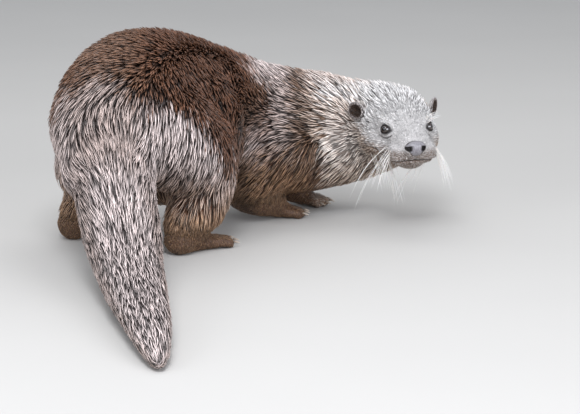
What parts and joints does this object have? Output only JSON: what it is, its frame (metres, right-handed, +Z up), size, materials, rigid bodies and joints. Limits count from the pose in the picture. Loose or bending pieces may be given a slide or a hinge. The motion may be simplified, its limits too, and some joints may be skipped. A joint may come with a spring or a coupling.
{
  "type": "eurasian otter",
  "caption": "Life-size Eurasian otter, standing hunched on all fours with wet coat, its head turned to look over its right shoulder and its tail laid on the floor.",
  "frame": {"origin": "middle of the bounding box, on the floor", "axes": "+Z up, +X the way the chest points, +Y the chest's left; the face looks almost along -Y"},
  "size_m": [0.4954, 0.8108, 0.2702],
  "materials": {
    "body_coat": "wet guard hair in pointed locks, brown with grey-lilac sheen",
    "face_coat": "short silvery grey-brown fur, tan on the throat",
    "foot_coat": "short close wet fur",
    "ear_coat": "short dark velvety fur with a paler rim",
    "nose_skin": "damp pebbled grey-black skin",
    "eye": "wet dark brown eye",
    "keratin": "pale horn claws and whiskers"
  },
  "bodies": {
    "root": {"chest": "body_coat", "ear_left": "ear_coat", "ear_right": "ear_coat", "eye_left": "eye", "eye_right": "eye", "foreclaw_left_1": "keratin", "foreclaw_left_2": "keratin", "foreclaw_left_3": "keratin", "foreclaw_left_4": "keratin", "foreclaw_left_5": "keratin", "foreclaw_right_1": "keratin", "foreclaw_right_2": "keratin", "foreclaw_right_3": "keratin", "foreclaw_right_4": "keratin", "foreclaw_right_5": "keratin", "forefoot_left": "foot_coat", "forefoot_right": "foot_coat", "foreleg_left": "body_coat", "foreleg_right": "body_coat", "head": "face_coat", "hindclaw_left_1": "keratin", "hindclaw_left_2": "keratin", "hindclaw_left_3": "keratin", "hindclaw_left_4": "keratin", "hindclaw_left_5": "keratin", "hindclaw_right_1": "keratin", "hindclaw_right_2": "keratin", "hindclaw_right_3": "keratin", "hindclaw_right_4": "keratin", "hindclaw_right_5": "keratin", "hindfoot_left": "foot_coat", "hindfoot_right": "foot_coat", "hindleg_left": "body_coat", "hindleg_right": "body_coat", "hindquarters": "body_coat", "neck": "body_coat", "nose": "nose_skin", "tail_middle": "body_coat", "tail_root": "body_coat", "tail_tip": "body_coat"}
  },
  "joints": []
}
